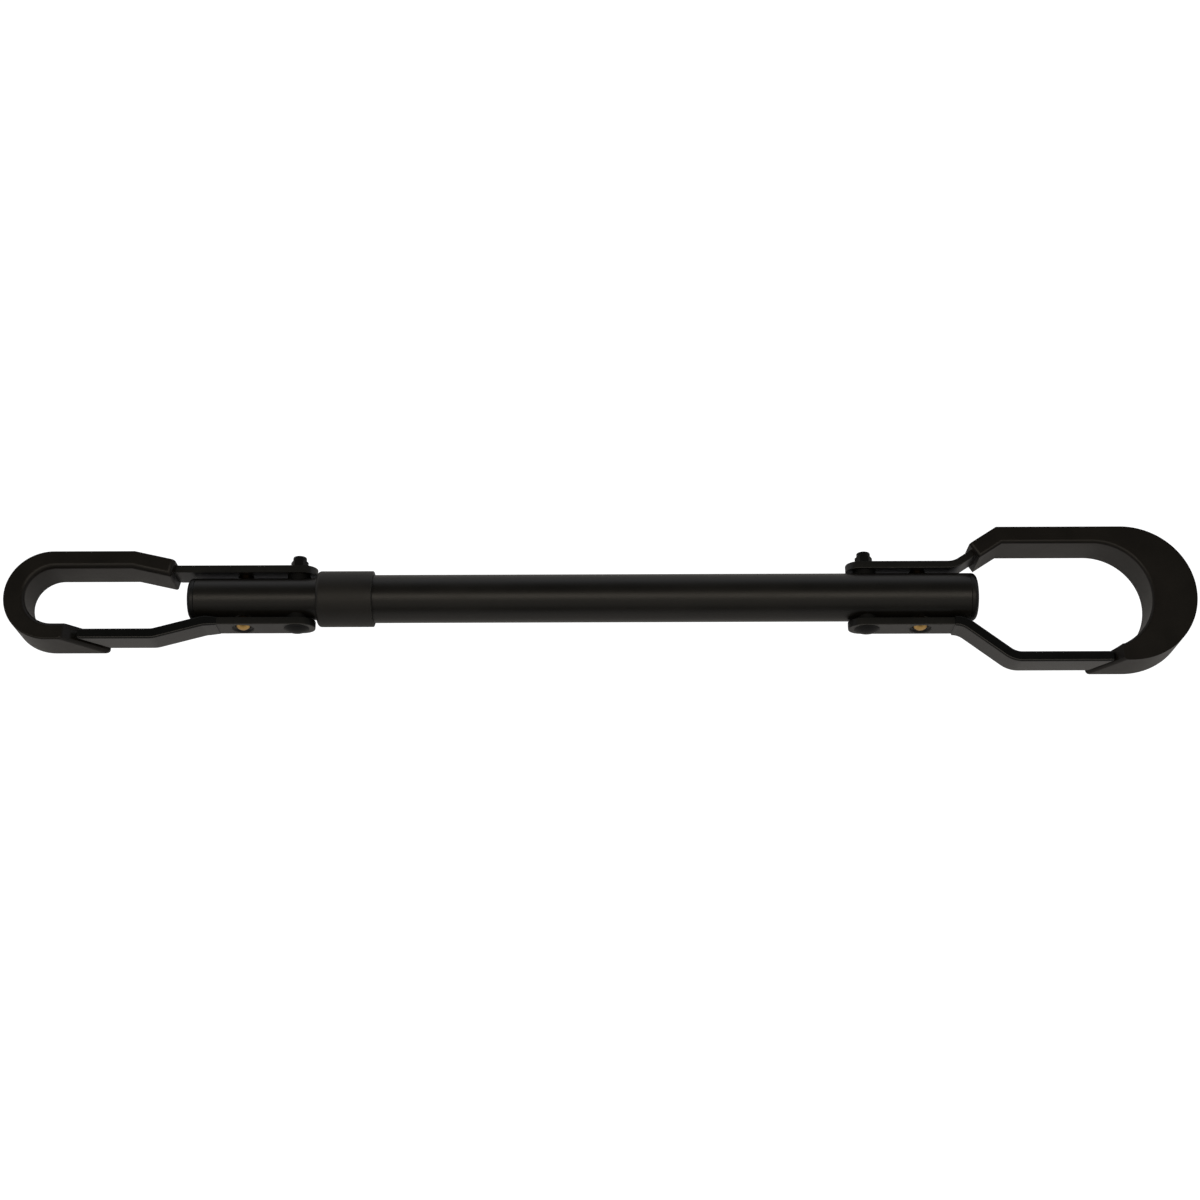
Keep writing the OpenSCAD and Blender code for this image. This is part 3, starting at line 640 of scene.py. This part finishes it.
def gate_moves(end, first):
    bend_at, slope, _ = GATE[end]
    drop = gate_y[end] + arm_y[end] / MM
    return [(bend_at - first, 0), *double_bend(end, drop, slope), (GATE_RUN, 0)]


gates = {}
for end in (SMALL, LARGE):
    name = end_name[end] + "_gate_bar"
    root_x = bolt_x[end] - end * PAST_BOLT * MM
    bar = flat_bar(name + "_bent", Vector((root_x, -arm_y[end], 0)),
                   0 if end == LARGE else math.pi, gate_moves(end, -PAST_BOLT),
                   BAR_WIDTH, BAR_THICK)
    round_root(bar, root_x)
    back = SKIN * math.sqrt(1 + SLANT[end][1] ** 2)
    carve(bar, slant_block(end, -GATE[end][2] - back, False))
    carve(bar, drill("bolt_hole", bolt_x[end], BOLT_HOLE_R))
    face = arm_y[end] / MM + BAR_THICK / 2
    dish = turned("dish", Vector((button_x[end], -face * MM, 0)), Y,
                  [(-1, DISH_R + 0.8), (0, DISH_R), (0.3, DISH_R - 0.6), (1.2, DISH_R - 0.9),
                   (DISH_DEPTH, ARM_HOLE_R), (BAR_THICK + 2, ARM_HOLE_R)], 64)
    carve(bar, dish)
    round_edges(bar, 0.35, 2)
    gates[end] = bar
    hand_over(bar, end_name[end] + "_gate", bar_paint, [name])

# ---- The gates' vinyl sleeves ------------------------------------------------------------
# Each gate is dipped in black plastisol from its tip almost to the button, 0.8 mm
# thick. Surface tension rounds every edge and leaves it glossy.

SLEEVE_AT = {SMALL: 41.0, LARGE: 45.0}
DIP_EDGE, TRIM, TRIM_BLOCK = 0.25, 5, 60


def thin_start(sleeve, start):
    """The skin tapers off where the dip ended."""
    pick(sleeve, "VERT", lambda vert: abs(vert.co.x - start.x) < 1e-6)
    bpy.ops.transform.resize(
        value=(1, (BAR_THICK + 2 * DIP_EDGE) / (BAR_THICK + 2 * SKIN),
               (BAR_WIDTH + 2 * DIP_EDGE) / (BAR_WIDTH + 2 * SKIN)), center_override=start)
    bpy.ops.object.mode_set(mode="OBJECT")


# Plastisol: the glossiest black here, so its rounded edges carry thin bright lines.
plastisol = black_finish("dipped PVC plastisol", "#0e0e0e", "#151515", 14, 1.6, 0.02,
                         (0.14, 0.22), 1.5)
for end in (SMALL, LARGE):
    name = end_name[end] + "_gate_sleeve"
    start = Vector((bolt_x[end] + end * SLEEVE_AT[end] * MM, -arm_y[end], 0))
    sleeve = flat_bar(name + "_dipped", start - X * end * TRIM * MM,
                      0 if end == LARGE else math.pi, gate_moves(end, SLEEVE_AT[end] - TRIM),
                      BAR_WIDTH + 2 * SKIN, BAR_THICK + 2 * SKIN)
    carve(sleeve, slant_block(end, -GATE[end][2], False))
    round_edges(sleeve, 1.0, 5)
    bpy.ops.object.select_all(action="DESELECT")
    bpy.ops.mesh.primitive_cube_add(size=TRIM_BLOCK * MM,
                                    location=start - X * end * TRIM_BLOCK / 2 * MM)
    carve(sleeve, start_piece("trim_block"))
    thin_start(sleeve, start)
    carve(sleeve, gates[end], keep=True)
    hand_over(sleeve, end_name[end] + "_gate", plastisol, [name])

# ---- Pivot bolts and lock nuts ------------------------------------------------------------
# M5 bolts with a low round head on the gate's side, blackened, and a lock nut
# with a nylon ring on the other arm.

BOLT_R, HEAD_R, HEAD_H = 2.5, 6.7, 2.2
NUT_R, HEX_H, TOP_H, THREAD_GAP = 4.62, 4.6, 2.4, 0.02
CROWN_R, CROWN_ROUND = 3.6, 0.6
# Black zinc: a dull, even black that makes the fasteners darker than the paint.
black_zinc = black_finish("black-passivated zinc plate", "#0b0b0c", "#131314", 6, 0.5, 0.008,
                          (0.42, 0.52), 1.3)
# Small nylon mouldings: matt and dark, so they sink into the gaps they sit in.
black_nylon = black_finish("black nylon", "#0d0d0d", "#131313", 8, 0.4, 0.01, (0.5, 0.6), 1.3)
for end in (SMALL, LARGE):
    face = arm_y[end] / MM + BAR_THICK / 2
    low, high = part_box(end_name[end] + "_pivot_bolt")
    head_face = low.y / MM + HEAD_H
    dome_r = (HEAD_R ** 2 + HEAD_H ** 2) / (2 * HEAD_H)
    dome = [(HEAD_H - dome_r + dome_r * math.cos(a), dome_r * math.sin(a))
            for a in (math.asin(HEAD_R * 0.97 / dome_r) * k / 10 for k in range(1, 11))]
    shank = (high.y - low.y) / MM - HEAD_H
    bolt = turned(end_name[end] + "_bolt", Vector((bolt_x[end], head_face * MM, 0)), -Y, [
        (HEAD_H, 0.05), *dome, (0.12, HEAD_R), (0, HEAD_R - 0.15), (0, BOLT_R + 0.2),
        (-0.2, BOLT_R), (-shank + 0.5, BOLT_R), (-shank, BOLT_R - 0.5), (-shank, 0.05)])
    hand_over(bolt, end_body[end], black_zinc, [end_name[end] + "_pivot_bolt"])

    seat_face = Vector((bolt_x[end], face * MM, 0))
    bpy.ops.object.select_all(action="DESELECT")
    bpy.ops.mesh.primitive_cylinder_add(vertices=6, radius=NUT_R * MM, depth=HEX_H * MM,
                                        location=seat_face + Y * HEX_H / 2 * MM,
                                        rotation=(math.pi / 2, math.pi / 6, 0))
    nut = start_piece(end_name[end] + "_nut")
    barrel = turned("barrel", seat_face, Y, [
        (-0.5, 0.05), (-0.5, 3.6), (0.5, NUT_R + 0.2), (HEX_H - 0.6, NUT_R + 0.2),
        (HEX_H + 0.4, 3.2), (HEX_H + 0.4, 0.05)], 64)
    carve(nut, barrel, "INTERSECT")
    crown = turned("crown", seat_face, Y, [
        (HEX_H - 0.6, 0.05), (HEX_H - 0.6, CROWN_R), (HEX_H + TOP_H - CROWN_ROUND, CROWN_R),
        *corner(HEX_H + TOP_H - CROWN_ROUND, CROWN_R - CROWN_ROUND, CROWN_ROUND, 90, 0, 5)[1:],
        (HEX_H + TOP_H, 2.7), (HEX_H + TOP_H - 0.2, 2.7), (HEX_H + TOP_H - 0.2, 0.05)], 64)
    carve(nut, crown, "UNION")
    carve(nut, drill("thread", bolt_x[end], BOLT_R + THREAD_GAP))
    round_edges(nut, 0.12, 2, 65)
    hand_over(nut, end_body[end], black_zinc, [end_name[end] + "_lock_nut"])

    ring = turned(end_name[end] + "_nut_ring", seat_face, Y, [
        (HEX_H + TOP_H - 0.2, 2.68), (HEX_H + TOP_H - 0.05, 2.6), (HEX_H + TOP_H - 0.05, 2.54),
        (HEX_H + 0.6, 2.53), (HEX_H + 0.6, 2.68), (HEX_H + TOP_H - 0.2, 2.68)], 48)
    hand_over(ring, end_body[end], black_nylon, [])

# ---- Saddle washers and the tube guide ------------------------------------------------
# Small nylon mouldings that the CAD model already has right: the saddles sit
# between the flat arms and the round tubes, the guide runs inside the main tube.

for name in ("small_upper_saddle", "small_lower_saddle", "large_upper_saddle",
             "large_lower_saddle", "inner_guide"):
    frame["nodes"][name].data.materials.clear()
    frame["nodes"][name].data.materials.append(black_nylon)

# ---- Snap buttons ----------------------------------------------------------------------
# Turned brass pins with a domed tip and a wide foot that stays inside the tube.
# Left bare, so they shine gold against the black arms.


# Distance from the tube's axis below which the pins are painted dark as painted shade, and the width of the fade
# to bright brass.
PAINTED_SHADE_TO, SHADE_FADE = 14.0, 0.9


# Brass: warm gold at the tip, broken up by fine turning marks and small tarnish spots; below the tip its colour is
# painted dark as painted shade.
def turned_brass():
    material, tree = new_material("turned brass")
    place = add_node(tree, "ShaderNodeTexCoord").outputs["Object"]
    # turning marks round the pin, about 0.15 mm apart
    marks = add_node(tree, "ShaderNodeMapping", {"Scale": (600, 6000, 600)}, {"Vector": place})
    lines = add_node(tree, "ShaderNodeTexNoise", {"Scale": 1.0, "Detail": 3.0},
                     {"Vector": marks.outputs["Vector"]}).outputs["Fac"]
    tarnish = add_node(tree, "ShaderNodeTexNoise", {"Scale": 450.0, "Detail": 3.0},
                       {"Vector": place}).outputs["Fac"]
    # painted shade: inside the arm, in the shaded gap beside the tube, the pin's colour is painted dark; only the
    # tip keeps its brass colour
    height = add_node(tree, "ShaderNodeSeparateXYZ", links={"Vector": place}).outputs["Y"]
    height = add_node(tree, "ShaderNodeMath", links={0: height}, operation="ABSOLUTE")
    out_of_painted_shade = add_node(tree, "ShaderNodeMapRange",
                      {"From Min": PAINTED_SHADE_TO * MM, "From Max": (PAINTED_SHADE_TO + SHADE_FADE) * MM},
                      {"Value": height.outputs[0]}).outputs["Result"]
    bright = add_node(tree, "ShaderNodeMix", {"A": linear("#c79a55"), "B": linear("#ecc681")},
                      {"Factor": tarnish}, data_type="RGBA").outputs["Result"]
    # the dark brown of the painted shade on the pin inside the arm
    colour = add_node(tree, "ShaderNodeMix", {"A": linear("#2a2118")},
                      {"Factor": out_of_painted_shade, "B": bright}, data_type="RGBA")
    rough = add_node(tree, "ShaderNodeMapRange", {"To Min": 0.26, "To Max": 0.42},
                     {"Value": lines})
    bump = add_node(tree, "ShaderNodeBump", {"Strength": 0.4, "Distance": 0.006 * MM},
                    {"Height": lines})
    shader = add_node(tree, "ShaderNodeBsdfPrincipled", {"Metallic": 1.0},
                      {"Base Color": colour.outputs["Result"],
                       "Roughness": rough.outputs["Result"], "Normal": bump.outputs["Normal"]})
    add_node(tree, "ShaderNodeOutputMaterial", links={"Surface": shader.outputs["BSDF"]})
    return material


brass = turned_brass()
BUTTON_R, FOOT_R, FOOT_H = 3.7, 4.75, 1.2
for end in (SMALL, LARGE):
    for side, way in (("upper", 1), ("lower", -1)):
        name = f"{end_name[end]}_{side}_button"
        low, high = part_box(name)
        length = (high.y - low.y) / MM
        root = low.y if way == 1 else high.y
        dome_h = BUTTON_R / 2
        dome_r = (BUTTON_R ** 2 + dome_h ** 2) / (2 * dome_h)
        dome = [(length - dome_r + dome_r * math.cos(a), dome_r * math.sin(a))
                for a in (math.asin(BUTTON_R * 0.98 / dome_r) * k / 12 for k in range(12, 0, -1))]
        pin = turned(name + "_pin", Vector((button_x[end], root, 0)), Y * way, [
            (0, 0.05), (0, FOOT_R - 0.15), (0.15, FOOT_R), (FOOT_H - 0.15, FOOT_R),
            (FOOT_H, FOOT_R - 0.15), (FOOT_H, BUTTON_R), (dome[0][0] - 0.12, BUTTON_R),
            *dome, (length, 0.05)], 64)
        hand_over(pin, name, brass, [name], 50)

# ---- Snap springs and the return spring ---------------------------------------------
# Spring steel. Each pair of buttons is pushed out by one strip bent into a U, made here
# as two leaves that meet in the bend, so that each can follow its own button. The
# close-wound return spring hooks on both pivot bolts and pulls the bar shut.


# Oiled steel: mid-grey metal, streaked lengthwise where it was drawn.
def oiled_spring_steel():
    material, tree = new_material("oiled spring steel")
    place = add_node(tree, "ShaderNodeTexCoord").outputs["Object"]
    draw = add_node(tree, "ShaderNodeMapping", {"Scale": (300, 1800, 1800)}, {"Vector": place})
    lines = add_node(tree, "ShaderNodeTexNoise", {"Scale": 1.0, "Detail": 3.0},
                     {"Vector": draw.outputs["Vector"]}).outputs["Fac"]
    colour = add_node(tree, "ShaderNodeMix", {"A": linear("#77797b"), "B": linear("#a3a5a6")},
                      {"Factor": lines}, data_type="RGBA")
    rough = add_node(tree, "ShaderNodeMapRange", {"To Min": 0.28, "To Max": 0.45},
                     {"Value": lines})
    shader = add_node(tree, "ShaderNodeBsdfPrincipled", {"Metallic": 1.0},
                      {"Base Color": colour.outputs["Result"],
                       "Roughness": rough.outputs["Result"]})
    add_node(tree, "ShaderNodeOutputMaterial", links={"Surface": shader.outputs["BSDF"]})
    return material


spring_steel = oiled_spring_steel()
LEAF_THICK, LEAF_WIDTH, LEAF_STEPS = 0.6, 7, 8
for end in (SMALL, LARGE):
    name = end_name[end] + "_snap_spring"
    low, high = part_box(name)
    bend = high.y / MM - LEAF_THICK / 2
    leg = (high.x - low.x) / MM - bend - LEAF_THICK / 2
    tip_x = high.x if end == LARGE else low.x
    foot = 2 * FOOT_R
    step = (leg - foot) / LEAF_STEPS
    for side, way in (("upper", 1), ("lower", -1)):
        leaf = flat_bar(f"{end_name[end]}_{side}_leaf", Vector((tip_x, way * bend * MM, 0)),
                        math.pi if end == LARGE else 0,
                        [(foot, 0), *[(step, 0)] * LEAF_STEPS, (bend, 90 * end * way)],
                        LEAF_WIDTH, LEAF_THICK)
        round_edges(leaf, 0.12, 2)
        hand_over(leaf, None, spring_steel, [name])
        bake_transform(leaf)

WIRE, COIL_R, HOOK_RUN, COIL_PLAY = 1.6, 6.2, 14, 0.04
coil_from, coil_to = bolt_x[SMALL] + HOOK_RUN * MM, bolt_x[LARGE] - HOOK_RUN * MM
turns = int((coil_to - coil_from) / MM / (WIRE + COIL_PLAY))
bpy.ops.object.select_all(action="DESELECT")
bpy.ops.mesh.primitive_circle_add(vertices=8, radius=WIRE / 2 * MM, fill_type="NOTHING",
                                  location=(coil_from + WIRE / 2 * MM, 0, COIL_R * MM),
                                  rotation=(math.pi / 2, 0, 0))
coil = start_piece("return_spring_coil")
pitch = (coil_to - coil_from - WIRE * MM) / turns
apply_modifier(coil, "SCREW", axis="X", screw_offset=pitch, iterations=turns, steps=16,
               render_steps=16)
bpy.ops.object.mode_set(mode="EDIT")
bpy.ops.mesh.select_all(action="SELECT")
bpy.ops.mesh.fill_holes(sides=0)
bpy.ops.mesh.normals_make_consistent(inside=False)
bpy.ops.object.mode_set(mode="OBJECT")
for end in (SMALL, LARGE):
    ring_r, ring_in = BOLT_R + WIRE / 2 + 1.2, 1.1
    hook = turned("hook", Vector((bolt_x[end] - end * ring_in * MM, 0, 0)), Y, [
        (WIRE / 2 * math.cos(a), ring_r + WIRE / 2 * math.sin(a))
        for a in (math.tau * k / 8 for k in range(9))], 40)
    leg_from = ring_in + ring_r
    leg = turned("leg", Vector((bolt_x[end] - end * leg_from * MM, 0, 0)), X * -end, [
        (-0.3, WIRE / 2 * 0.9), (HOOK_RUN - leg_from + WIRE, WIRE / 2)], 8)
    riser = turned("riser", Vector((bolt_x[end] - end * (HOOK_RUN + WIRE / 2) * MM, 0, 0)), Z, [
        (-WIRE / 2, WIRE / 2), (COIL_R, WIRE / 2)], 8)
    bpy.ops.object.select_all(action="DESELECT")
    for part in (hook, leg, riser, coil):
        part.select_set(True)
    bpy.context.view_layer.objects.active = coil
    bpy.ops.object.join()
hand_over(coil, None, spring_steel, ["return_spring"], 60)
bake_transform(coil)
